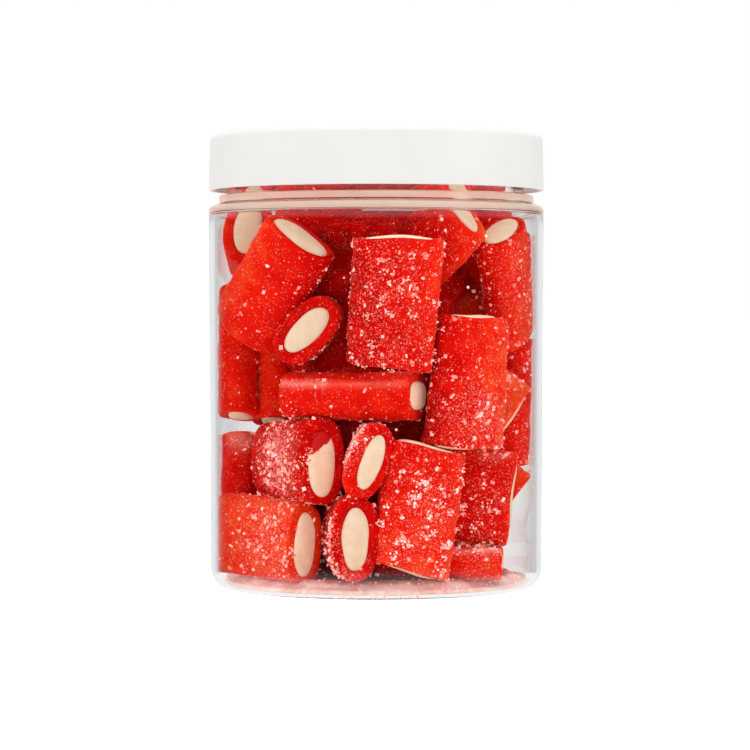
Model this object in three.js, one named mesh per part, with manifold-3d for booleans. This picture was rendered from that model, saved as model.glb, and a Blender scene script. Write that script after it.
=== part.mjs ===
// A clear straight-sided plastic jar with a white screw lid, full of sugared gummy sweets.
// Millimetres, +Z up. The origin is under the middle of the base, on the surface the jar stands on.

import * as THREE from "three";
import { mergeVertices } from "three/addons/utils/BufferGeometryUtils.js";
import Module from "manifold-3d";

const wasm = await Module();
wasm.setup();

// ---- driving dimensions -------------------------------------------------------------------

const roundSides = 52;

const jar = {
  bodyRadius: 46.0,       // just under the shoulder
  heelRadius: 45.6,       // just above the rounded heel
  heelHeight: 5.5,
  footRadius: 41.5,       // outer edge of the flat ring that it stands on
  footInner: 39.2,
  panelRadius: 36.0,      // raised panel inside the foot ring
  panelRise: 2.2,
  floorThickness: 1.5,
  wall: 1.9,
  shoulderHeight: 103.0,
  neckBase: 105.3,
  beadRadius: 43.2,
  beadTop: 107.2,
  neckRadius: 40.9,
  mouthHeight: 121.8,
};

const lid = {
  radius: 46.0,
  topRadius: 45.7,
  bottom: 108.6,
  top: 123.9,
  skirt: 1.4,
  roof: 1.7,
  edgeRadius: 1.8,
};

const thread = { ridge: 1.3, sides: 6, pitch: 5, turns: 1.1, steps: 26, start: 110.6 };

const sweet = { sides: 16, squareness: 2.5, edge: 0.9 };
const heart = { radius: 27, bottom: 9, top: 104, sides: 20 };
const clearance = 0.4;    // between the sweets and the jar or the lid

// Where each sweet lies: its middle, how far its length leans from upright, the compass turn of
// that lean (0 is right, -90 is toward the front), its spin about its own length, and its width,
// thickness and length. A twin lies behind the jar's middle plane, facing the other way.
const sweets = [
  { at: [4.6, -34.4, 77.9], lean: 6.5, turn: -45, spin: 45, size: [23.1, 13.2, 34.2], twin: true },
  { at: [23.8, -27, 56.8], lean: 4.6, turn: 0, spin: 37, size: [21.9, 12.6, 34.6], twin: true },
  { at: [-27.3, -22.3, 82.6], lean: 41, turn: -46, spin: 28, size: [20.4, 12, 33.5] },
  { at: [-35.4, 3, 97], lean: 77, turn: -87, spin: -9, size: [22, 12.8, 24] },
  { at: [-37.2, 1, 63.8], lean: 10, turn: 90, spin: -8, size: [22, 11.4, 35] },
  { at: [-28.4, 4.5, 61.5], lean: 10, turn: 90, spin: 6, size: [21, 12, 33] },
  { at: [-5.8, -26, 53.3], lean: 90.3, turn: -14, spin: 90, size: [22.5, 12.8, 35] },
  { at: [-16.6, -15.5, 70.6], lean: 90, turn: -96, spin: 134, size: [20.5, 12.2, 31] },
  { at: [10.6, -34.2, 23.5], lean: 7.6, turn: 0, spin: 14, size: [21.4, 12.8, 33], twin: true },
  { at: [-21.3, -19.8, 35.1], lean: 86.5, turn: -64, spin: 0, size: [22.6, 12.8, 33] },
  { at: [-2.8, -24.4, 36.2], lean: 90, turn: -87, spin: -18, size: [20.5, 10.8, 33.5], twin: true },
  { at: [-29.6, -19.2, 14.4], lean: 93, turn: -46, spin: 0, size: [22.4, 12.4, 31.6] },
  { at: [-7.4, -24, 15.9], lean: 90, turn: -83, spin: 0, size: [22.3, 12.2, 33], twin: true },
  { at: [12.5, -15.3, 91.8], lean: 49, turn: -36, spin: -20, size: [23, 12.6, 34], twin: true },
  { at: [35.1, -9.3, 82.9], lean: 32, turn: -104, spin: 164, size: [18.2, 10.6, 34] },
  { at: [38.3, 7.5, 50.5], lean: 3, turn: 0, spin: 80, size: [22, 11.6, 35] },
  { at: [21.8, -8.5, 55.5], lean: 125, turn: -7, spin: 0, size: [22.5, 12.4, 34] },
  { at: [18.9, -18.6, 26.9], lean: 96, turn: -6.5, spin: 0, size: [25, 12.2, 34], twin: true },
  { at: [16.8, -18.8, 8.1], lean: 91, turn: -5, spin: 90, size: [22.5, 9.4, 33], twin: true },
  { at: [24, -5, 32.6], lean: 129, turn: 0, spin: 0, size: [20.5, 11.6, 31] },
  { at: [-37.6, 6, 24.4], lean: 8, turn: 100, spin: -4, size: [22, 12.6, 34] },
  { at: [-16.5, -6.6, 96], lean: 4, turn: 0, spin: 6, size: [23.5, 12.4, 34], twin: true },
  { at: [25.5, 3, 93.5], lean: 6, turn: 0, spin: 14, size: [22.5, 12.6, 34] },
  { at: [-21.5, 25, 22.4], lean: 4, turn: 41, spin: 0, size: [22, 12.6, 34] },
  { at: [-26, 27, 64], lean: 5, turn: -136, spin: 180, size: [22, 12.6, 34] },
  { at: [-19, 28, 92.4], lean: 90, turn: 32, spin: 0, size: [21, 12.6, 34] },
  { at: [37.4, 8, 84.5], lean: 5, turn: 100, spin: 0, size: [20, 12, 24] },
  { at: [-3.4, 26, 53.3], lean: 92.5, turn: 10, spin: 90, size: [22.5, 12.8, 29] },
  { at: [-12.5, 23.5, 71.5], lean: 90, turn: 97, spin: -10, size: [20.5, 12, 32] },
];

const degrees = THREE.MathUtils.degToRad;

// ---- solids -------------------------------------------------------------------------------

function solidFrom(geometry) {
  geometry.deleteAttribute("normal");
  geometry.deleteAttribute("uv");
  const merged = mergeVertices(geometry, 1e-4);
  const corners = merged.index.array;
  const triangles = [];
  for (let i = 0; i < corners.length; i += 3) {
    const [a, b, c] = corners.slice(i, i + 3);
    if (a !== b && b !== c && c !== a) triangles.push(a, b, c);
  }
  return new wasm.Manifold(new wasm.Mesh({
    numProp: 3,
    vertProperties: merged.attributes.position.array,
    triVerts: Uint32Array.from(triangles),
  }));
}

function geometryFrom(solid) {
  const mesh = solid.getMesh();
  const geometry = new THREE.BufferGeometry();
  geometry.setAttribute("position", new THREE.BufferAttribute(mesh.vertProperties, 3));
  geometry.setIndex(new THREE.BufferAttribute(mesh.triVerts, 1));
  geometry.computeVertexNormals();
  return geometry;
}

function meshOf(name, solid, material) {
  const mesh = new THREE.Mesh(geometryFrom(solid), new THREE.MeshStandardMaterial(material));
  mesh.name = name;
  return mesh;
}

// Turns a profile of [radius, height] points about the upright axis.
function turned(profile, sides = roundSides) {
  const points = profile.map(([radius, height]) => new THREE.Vector2(radius, height));
  return solidFrom(new THREE.LatheGeometry(points, sides).rotateX(Math.PI / 2));
}

// Points along a quarter or less of an ellipse, angles in degrees from straight outward.
function bend([radius, height], across, up, from, to, steps) {
  const points = [];
  for (let i = 0; i <= steps; i++) {
    const angle = degrees(from + (to - from) * i / steps);
    points.push([radius + across * Math.cos(angle), height + up * Math.sin(angle)]);
  }
  return points;
}

// ---- jar ----------------------------------------------------------------------------------

// The inside of the jar from the middle of its floor up to the mouth, drawn in by a gap.
function insideProfile(gap) {
  const floor = jar.panelRise + jar.floorThickness + gap;
  const wallFoot = jar.heelRadius - jar.wall - gap;
  const wallTop = jar.bodyRadius - jar.wall - gap;
  const neck = jar.neckRadius - jar.wall - gap;
  const groove = [jar.footRadius - 0.7, jar.heelHeight];
  return [
    [0, floor],
    [jar.panelRadius, floor],
    [jar.footInner, 2.0 + gap],
    ...bend(groove, wallFoot - groove[0], jar.heelHeight - 1.3 - gap, -90, 0, 4),
    ...bend([wallTop - 1.7, jar.shoulderHeight - 1.3], 1.7, 1.4 - gap, 0, 90, 4),
    [neck + 0.8, jar.shoulderHeight + 0.4 - gap],
    [neck, jar.shoulderHeight + 1.3],
  ];
}

function makeJar() {
  const { footRadius, heelRadius, heelHeight, bodyRadius, neckRadius, mouthHeight } = jar;
  const neckInside = neckRadius - jar.wall;
  const outside = [
    [0, jar.panelRise],
    [jar.panelRadius, jar.panelRise],
    [jar.footInner, 0],
    ...bend([footRadius, heelHeight], heelRadius - footRadius, heelHeight, -90, 0, 5),
    ...bend([bodyRadius - 1.5, jar.shoulderHeight], 1.5, 1.5, 0, 70, 3),
    [jar.beadRadius, jar.neckBase - 0.1],
    [jar.beadRadius, jar.beadTop - 0.3],
    [jar.beadRadius - 0.3, jar.beadTop],
    [neckRadius, jar.beadTop + 0.3],
    [neckRadius, mouthHeight - 0.5],
    [neckRadius - 0.5, mouthHeight],
    [neckInside + 0.4, mouthHeight],
    [neckInside, mouthHeight - 0.4],
  ];
  const cup = turned([...outside, ...insideProfile(0).reverse()]);
  return cup.add(screwRidge(neckRadius + 0.2, thread.start));
}

// ---- screw thread -------------------------------------------------------------------------

class Helix extends THREE.Curve {
  constructor(radius, start) {
    super();
    this.radius = radius;
    this.start = start;
  }

  getPoint(t, target = new THREE.Vector3()) {
    const angle = 2 * Math.PI * thread.turns * t;
    const height = this.start + thread.pitch * thread.turns * t;
    return target.set(this.radius * Math.cos(angle), this.radius * Math.sin(angle), height);
  }
}

function screwRidge(radius, start) {
  const section = new THREE.Shape();
  section.absarc(0, 0, thread.ridge, 0, 2 * Math.PI);
  return solidFrom(new THREE.ExtrudeGeometry(section, {
    curveSegments: thread.sides,
    steps: thread.steps,
    extrudePath: new Helix(radius, start),
  }));
}

// ---- lid ----------------------------------------------------------------------------------

function makeLid() {
  const { radius, topRadius, bottom, top, skirt, roof, edgeRadius } = lid;
  const rim = [topRadius - edgeRadius, top - edgeRadius];
  const cap = turned([
    [0, top - roof],
    [topRadius - skirt - 0.6, top - roof],
    [topRadius - skirt, top - roof - 0.6],
    [radius - skirt, bottom + 0.3],
    [radius - skirt + 0.3, bottom],
    [radius - 0.3, bottom],
    [radius, bottom + 0.3],
    ...bend(rim, edgeRadius, edgeRadius, 0, 90, 5),
    [0, top],
  ]);
  const ridgeRadius = radius - skirt - 0.9;
  return cap.add(screwRidge(ridgeRadius, thread.start + thread.pitch / 2));
}

// ---- sweets -------------------------------------------------------------------------------

// A cut length of oval gummy tube, upright and centred, wide across X and thin across Y.
function sweetSolid([wide, thick, long]) {
  const section = new THREE.Shape();
  const power = 2 / sweet.squareness;
  for (let i = 0; i < sweet.sides; i++) {
    const angle = 2 * Math.PI * (i + 0.5) / sweet.sides;
    const across = Math.sign(Math.cos(angle)) * Math.abs(Math.cos(angle)) ** power;
    const deep = Math.sign(Math.sin(angle)) * Math.abs(Math.sin(angle)) ** power;
    const point = [wide / 2 * across, thick / 2 * deep];
    if (i === 0) section.moveTo(...point);
    else section.lineTo(...point);
  }
  const geometry = new THREE.ExtrudeGeometry(section, {
    depth: long - 2 * sweet.edge,
    bevelThickness: sweet.edge,
    bevelSize: sweet.edge,
    bevelOffset: -sweet.edge,
    bevelSegments: 1,
  });
  geometry.translate(0, 0, sweet.edge - long / 2);
  return geometry;
}

function placedSweet({ at: [x, y, z], lean, turn, spin, size }, side) {
  const pose = new THREE.Matrix4().makeTranslation(x, side * y, z);
  pose.multiply(new THREE.Matrix4().makeRotationZ(degrees(side * turn)));
  pose.multiply(new THREE.Matrix4().makeRotationY(degrees(lean)));
  pose.multiply(new THREE.Matrix4().makeRotationZ(degrees(side * spin)));
  return solidFrom(sweetSolid(size).applyMatrix4(pose));
}

// The heap: every sweet that shows, fused onto a plain heart, pressed flat against the jar.
function makeHeap() {
  let heap = turned([[0, heart.bottom], [heart.radius, heart.bottom],
    [heart.radius, heart.top], [0, heart.top]], heart.sides);
  for (const place of sweets) {
    heap = heap.add(placedSweet(place, 1));
    if (place.twin) heap = heap.add(placedSweet(place, -1));
  }
  const roofHeight = lid.top - lid.roof - clearance;
  const room = insideProfile(clearance);
  const neck = room.at(-1)[0];
  return heap.intersect(turned([...room, [neck, roofHeight], [0, roofHeight]]));
}

// ---- the whole ----------------------------------------------------------------------------

const group = new THREE.Group();
group.add(meshOf("jar", makeJar(), {
  color: "#e8ecee", roughness: 0.08, metalness: 0, transparent: true, opacity: 0.35,
}));
group.add(meshOf("lid", makeLid(), { color: "#f4f4f2", roughness: 0.45, metalness: 0 }));
group.add(meshOf("sweets", makeHeap(), { color: "#d8160e", roughness: 0.55, metalness: 0 }));

export default group;
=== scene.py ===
# A clear plastic jar with a white screw lid, full of sugared gummy lengths with a cream filling.
# Sizes are in millimetres and are turned to metres as each mesh is made.
import math

import bpy
import numpy as np
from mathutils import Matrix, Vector


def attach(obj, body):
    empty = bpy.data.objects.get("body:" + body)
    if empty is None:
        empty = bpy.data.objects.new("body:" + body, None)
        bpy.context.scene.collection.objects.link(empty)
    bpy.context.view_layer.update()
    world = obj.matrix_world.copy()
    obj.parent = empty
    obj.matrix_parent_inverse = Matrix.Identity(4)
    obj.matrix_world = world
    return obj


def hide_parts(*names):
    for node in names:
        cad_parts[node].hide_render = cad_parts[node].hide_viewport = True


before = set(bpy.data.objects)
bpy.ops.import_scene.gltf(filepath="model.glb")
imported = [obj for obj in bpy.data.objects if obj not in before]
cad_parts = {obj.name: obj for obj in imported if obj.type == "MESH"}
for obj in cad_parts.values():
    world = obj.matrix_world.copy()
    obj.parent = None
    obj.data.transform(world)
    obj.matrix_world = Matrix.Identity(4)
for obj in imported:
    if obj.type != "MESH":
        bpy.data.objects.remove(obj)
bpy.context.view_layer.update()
mm = 0.001
print("frame loaded")


# ---- small helpers

def hexToLinear(code):
    levels = [int(code[i:i + 2], 16) / 255 for i in (1, 3, 5)]
    linear = [v / 12.92 if v <= 0.04045 else ((v + 0.055) / 1.055) ** 2.4 for v in levels]
    return (*linear, 1.0)


def addNode(tree, kind, inputs=None, stops=(), **settings):
    # an input goes by its socket's name or number, and is a value, a hex colour, a socket,
    # or a node whose first live output is linked; stops are the places and colours of a ramp
    node = tree.nodes.new(kind)
    for name, value in settings.items():
        setattr(node, name, value)
    live = [socket for socket in node.inputs if socket.enabled]
    for name, value in (inputs or {}).items():
        socket = live[name] if isinstance(name, int) else next(s for s in live if s.name == name)
        if isinstance(value, bpy.types.Node):
            value = next(output for output in value.outputs if output.enabled)
        if isinstance(value, bpy.types.NodeSocket):
            tree.links.new(value, socket)
        else:
            socket.default_value = hexToLinear(value) if str(value).startswith("#") else value
    if stops:
        elements = node.color_ramp.elements
        while len(elements) < len(stops):
            elements.new(1.0)
        for element, (place, code) in zip(elements, stops):
            element.position = place
            element.color = hexToLinear(code)
    return node


def newMaterial(name):
    material = bpy.data.materials.new(name)
    material.use_nodes = True
    material.node_tree.nodes.clear()
    return material, material.node_tree


def makePiece(name, points, faces, material, attributes=None, smooth=True):
    mesh = bpy.data.meshes.new(name)
    mesh.from_pydata((np.asarray(points) * mm).tolist(), [], faces)
    mesh.update()
    mesh.polygons.foreach_set("use_smooth", [smooth] * len(mesh.polygons))
    for label, values in (attributes or {}).items():
        layer = mesh.attributes.new(label, "FLOAT", "POINT")
        layer.data.foreach_set("value", np.asarray(values, dtype=np.float32))
    piece = bpy.data.objects.new(name, mesh)
    bpy.context.scene.collection.objects.link(piece)
    mesh.materials.append(material)
    return piece


def joined(parts):
    # joins (points, faces) pairs into one
    points, faces, count = [], [], 0
    for partPoints, partFaces in parts:
        points.append(np.asarray(partPoints))
        faces += [[count + i for i in face] for face in partFaces]
        count += len(partPoints)
    return np.concatenate(points), faces


def bend(centre, across, up, start, end, steps):
    # points on part of an ellipse in the profile's plane, degrees from straight outward
    angles = [math.radians(start + (end - start) * i / steps) for i in range(steps + 1)]
    return [(centre[0] + across * math.cos(a), centre[1] + up * math.sin(a)) for a in angles]


def turned(profile, sides):
    # a closed solid of revolution; a point on the axis is one shared pole
    points, rings, faces = [], [], []
    angles = [2 * math.pi * k / sides for k in range(sides)]
    for radius, height in profile:
        first = len(points)
        if radius < 1e-6:
            points.append((0.0, 0.0, height))
            rings.append([first] * sides)
        else:
            points += [(radius * math.cos(a), radius * math.sin(a), height) for a in angles]
            rings.append(list(range(first, first + sides)))
    for low, high in zip(rings, rings[1:] + rings[:1]):
        for k in range(sides):
            after = (k + 1) % sides
            corners = list(dict.fromkeys([low[k], low[after], high[after], high[k]]))
            if len(corners) > 2:
                faces.append(corners)
    return points, faces


def screwRidge(radius, start, ridge, pitch, turns, steps=120, sides=12):
    # a right-handed round ridge that tapers to nothing at both ends
    points, faces = [], []
    for i in range(steps + 1):
        t = i / steps
        angle = 2 * math.pi * turns * t
        swell = ridge * max(0.12, min(1.0, 14 * t, 14 * (1 - t)))
        for k in range(sides):
            a = 2 * math.pi * k / sides
            r = radius + swell * math.cos(a)
            points.append((r * math.cos(angle), r * math.sin(angle),
                           start + pitch * turns * t + swell * math.sin(a)))
    for i in range(steps):
        for k in range(sides):
            after = (k + 1) % sides
            faces.append([i * sides + k, (i + 1) * sides + k,
                          (i + 1) * sides + after, i * sides + after])
    faces.append(list(range(sides)))
    faces.append([steps * sides + k for k in reversed(range(sides))])
    return points, faces


# ---- camera: level with the upper half of the jar, a little above it, long lens

camera = {"place": (-0.36, -794.0, 74.5), "pitch": 1.19, "lens": 138.3, "sensor": 36.0}

cameraData = bpy.data.cameras.new("camera")
cameraData.lens = camera["lens"]
cameraData.sensor_width = camera["sensor"]
cameraData.clip_start = 0.01
cameraObject = bpy.data.objects.new("camera", cameraData)
cameraObject.location = Vector(camera["place"]) * mm
cameraObject.rotation_euler = (math.radians(90 - camera["pitch"]), 0, 0)
bpy.context.scene.collection.objects.link(cameraObject)
bpy.context.scene.camera = cameraObject


# ---- jar: stretch-blown PET, so clear, thin and very glossy

jar = {
    "bodyRadius": 46.0, "heelRadius": 45.6, "heelHeight": 5.5, "footRadius": 41.5,
    "footInner": 39.2, "panelRadius": 36.0, "panelRise": 2.2, "floorThickness": 1.5,
    "wall": 1.9, "shoulderHeight": 103.0, "neckBase": 105.3, "beadRadius": 43.2,
    "beadTop": 107.2, "neckRadius": 40.9, "mouthHeight": 121.8, "sides": 192,
}
thread = {"ridge": 1.3, "pitch": 5.0, "turns": 1.1, "start": 110.6}


def insideProfile():
    # from the middle of the floor up to the foot of the neck
    floor = jar["panelRise"] + jar["floorThickness"]
    wallFoot = jar["heelRadius"] - jar["wall"]
    wallTop = jar["bodyRadius"] - jar["wall"]
    neck = jar["neckRadius"] - jar["wall"]
    groove = (jar["footRadius"] - 0.7, jar["heelHeight"])
    shoulder = (wallTop - 1.7, jar["shoulderHeight"] - 1.3)
    wallRise = [(wallFoot + (wallTop - wallFoot) * t, groove[1] + (shoulder[1] - groove[1]) * t)
                for t in np.linspace(0.04, 0.96, 12)]
    return [
        (0, floor), (18, floor), (jar["panelRadius"] - 0.6, floor),
        (jar["panelRadius"] + 0.3, floor - 0.2),
        (jar["footInner"] - 0.6, 2.2), (jar["footInner"], 1.9),
        *bend(groove, wallFoot - groove[0], groove[1] - 1.3, -84, 0, 14),
        *wallRise,
        *bend(shoulder, 1.7, 1.4, 0, 90, 10),
        (neck + 1.0, shoulder[1] + 1.42), (neck + 0.5, shoulder[1] + 1.6),
        (neck + 0.12, shoulder[1] + 2.0), (neck, shoulder[1] + 2.7),
    ]


def jarProfile():
    neckInside = jar["neckRadius"] - jar["wall"]
    bodyRise = [(jar["heelRadius"] + (jar["bodyRadius"] - jar["heelRadius"]) * t,
                 jar["heelHeight"] + (jar["shoulderHeight"] - jar["heelHeight"]) * t)
                for t in np.linspace(0.04, 0.98, 12)]
    outside = [
        (0, jar["panelRise"]), (18, jar["panelRise"]), (jar["panelRadius"], jar["panelRise"]),
        (jar["panelRadius"] + 0.7, jar["panelRise"] - 0.2), (jar["footInner"] - 0.6, 0.25),
        (jar["footInner"], 0.0),
        *bend((jar["footRadius"], jar["heelHeight"]), jar["heelRadius"] - jar["footRadius"],
              jar["heelHeight"], -90, 0, 18),
        *bodyRise,
        (jar["bodyRadius"], jar["shoulderHeight"] - 0.8), (jar["bodyRadius"], jar["shoulderHeight"] - 0.4),
        *bend((jar["bodyRadius"] - 1.5, jar["shoulderHeight"]), 1.5, 1.5, 0, 68, 8),
        (jar["beadRadius"] + 0.25, jar["neckBase"] - 0.35), (jar["beadRadius"], jar["neckBase"]),
        *bend((jar["beadRadius"] - 0.5, jar["beadTop"] - 0.5), 0.5, 0.5, 0, 90, 5),
        (jar["neckRadius"] + 0.4, jar["beadTop"] + 0.02), (jar["neckRadius"], jar["beadTop"] + 0.4),
        (jar["neckRadius"], jar["mouthHeight"] - 0.6),
        *bend((jar["neckRadius"] - 0.5, jar["mouthHeight"] - 0.5), 0.5, 0.5, 20, 90, 4),
        *bend((neckInside + 0.4, jar["mouthHeight"] - 0.4), -0.4, 0.4, 90, 0, 4),
    ]
    return outside + insideProfile()[::-1]


petLook = {"ior": 1.57, "specular": 0.35, "wave": 18.182 * mm, "cloud": 16.667 * mm}


def clearPetMaterial():
    # PET, blown: clear as glass, a trace of grey, faint long waves in its surface
    material, tree = newMaterial("clearPet")
    place = addNode(tree, "ShaderNodeTexCoord").outputs["Object"]
    stretch = addNode(tree, "ShaderNodeMapping", {"Vector": place, "Scale": (1.0, 1.0, 0.35)})
    waves = addNode(tree, "ShaderNodeTexNoise", {"Vector": stretch, "Scale": 1 / petLook["wave"],
                    "Detail": 1.0})
    bump = addNode(tree, "ShaderNodeBump", {"Height": waves, "Strength": 0.014, "Distance": 1 * mm})
    shader = addNode(tree, "ShaderNodeBsdfPrincipled", {
        "Base Color": "#fcfdfd", "Transmission Weight": 1.0, "Roughness": 0.015,
        "IOR": petLook["ior"], "Specular IOR Level": petLook["specular"], "Normal": bump})
    addNode(tree, "ShaderNodeOutputMaterial", {"Surface": shader})
    return material


def paintedLightPetMaterial():
    # the same PET where it is thick and barely stretched: half diffuse, with a beige colour painted in for
    # the bright light refracted through it and the red of the sweets behind it
    material, tree = newMaterial("paintedLightPet")
    place = addNode(tree, "ShaderNodeTexCoord").outputs["Object"]
    cloud = addNode(tree, "ShaderNodeTexNoise", {"Vector": place, "Scale": 1 / petLook["cloud"],
                    "Detail": 2.0})
    colour = addNode(tree, "ShaderNodeValToRGB", {"Fac": cloud}, [(0.3, "#e2c2ac"), (0.7, "#e8cdb9")])
    shader = addNode(tree, "ShaderNodeBsdfPrincipled", {
        "Base Color": colour, "Transmission Weight": 0.35, "Roughness": 0.26,
        "IOR": petLook["ior"], "Specular IOR Level": petLook["specular"]})
    addNode(tree, "ShaderNodeOutputMaterial", {"Surface": shader})
    return material


def makeJar():
    ridge = screwRidge(jar["neckRadius"] + 0.2, thread["start"], thread["ridge"], thread["pitch"],
                       thread["turns"])
    points, faces = joined([turned(jarProfile(), jar["sides"]), ridge])
    piece = makePiece("jarWall", points, faces, clearPetMaterial())
    piece.data.materials.append(paintedLightPetMaterial())
    # the shoulder and the bead under the lid, on the outside only, take the PET with painted light
    for polygon in piece.data.polygons:
        middle = polygon.center / mm
        far = math.hypot(middle.x, middle.y)
        shoulder = jar["shoulderHeight"] - 0.5 < middle.z < jar["neckBase"] - 0.9 and far > 44.4
        bead = jar["neckBase"] - 0.1 < middle.z < jar["beadTop"] - 0.1 and far > jar["beadRadius"] - 0.6
        polygon.material_index = 1 if shoulder or bead else 0
    piece.visible_shadow = False       # its shadow would be a caustic, which clear PET doesn't show
    piece.visible_diffuse = False
    return piece


jarWall = makeJar()
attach(jarWall, "root")
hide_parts("jar")
print("jar made")


# ---- lid: injection-moulded polypropylene, a plain smooth skirt

lid = {
    "radius": 46.0, "topRadius": 45.7, "bottom": 108.6, "top": 123.9, "skirt": 1.4, "roof": 1.7,
    "edgeRadius": 1.8, "sides": 192,
}


def lidProfile():
    under = lid["top"] - lid["roof"]
    inner = lid["topRadius"] - lid["skirt"]
    rim = (lid["topRadius"] - lid["edgeRadius"], lid["top"] - lid["edgeRadius"])
    skirt = [(lid["radius"] + (lid["topRadius"] - lid["radius"]) * t,
              lid["bottom"] + 0.6 + (rim[1] - lid["bottom"] - 0.6) * t) for t in np.linspace(0, 0.97, 6)]
    return [
        (0, under), (30, under), *bend((inner - 0.6, under - 0.6), 0.6, 0.6, 90, 0, 4),
        (lid["radius"] - lid["skirt"], lid["bottom"] + 0.4),
        *bend((lid["radius"] - lid["skirt"] + 0.4, lid["bottom"] + 0.4), -0.4, -0.4, 0, 90, 4),
        *bend((lid["radius"] - 0.4, lid["bottom"] + 0.4), 0.4, 0.4, -90, 0, 5),
        *skirt,
        *bend(rim, lid["edgeRadius"], lid["edgeRadius"], 0, 90, 10),
        (30, lid["top"]), (12, lid["top"]), (0, lid["top"]),
    ]


def whitePolypropyleneMaterial():
    # polypropylene, moulded: opaque soft white, half matt; the spark texture of the mould is
    # drawn at 0.4 mm, coarser than the real one
    material, tree = newMaterial("whitePolypropylene")
    place = addNode(tree, "ShaderNodeTexCoord").outputs["Object"]
    cloud = addNode(tree, "ShaderNodeTexNoise", {"Vector": place, "Scale": 1 / (25 * mm), "Detail": 2.0})
    spark = addNode(tree, "ShaderNodeTexNoise", {"Vector": place, "Scale": 1 / (0.4 * mm), "Detail": 2.0})
    colour = addNode(tree, "ShaderNodeValToRGB", {"Fac": cloud}, [(0.3, "#dcdbd7"), (0.7, "#e1e0dc")])
    rough = addNode(tree, "ShaderNodeMapRange", {"Value": spark, "From Min": 0.3, "From Max": 0.7,
                    "To Min": 0.42, "To Max": 0.52}, interpolation_type="SMOOTHSTEP")
    bump = addNode(tree, "ShaderNodeBump", {"Height": spark, "Strength": 0.15, "Distance": 0.05 * mm})
    shader = addNode(tree, "ShaderNodeBsdfPrincipled", {
        "Base Color": colour, "Roughness": rough, "IOR": 1.49, "Normal": bump})
    addNode(tree, "ShaderNodeOutputMaterial", {"Surface": shader})
    return material


def makeLid():
    ridge = screwRidge(lid["radius"] - lid["skirt"] - 0.9, thread["start"] + thread["pitch"] / 2,
                       thread["ridge"], thread["pitch"], thread["turns"])
    points, faces = joined([turned(lidProfile(), lid["sides"]), ridge])
    return makePiece("lidCap", points, faces, whitePolypropyleneMaterial())


lidCap = makeLid()
lidCap.visible_shadow = False          # thin white plastic lets the light from above through
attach(lidCap, "root")
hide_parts("lid")
print("lid made")


# ---- sweets: cut lengths of an oval gummy tube, red skin, cream filling

sweetShape = {
    "squareness": 2.5, "boreSquareness": 2.2, "edge": 0.8, "rim": 2.75, "sides": 44, "rings": 22,
    "creamSides": 36, "bulge": 0.5, "coat": 0.3, "toneAndPaintedShade": (0.5, 0.0, 0.0), "innerTone": 0.3,
    "neighbourReach": 42, "deepestPress": 2.3, "seed": 7,
}
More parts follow.
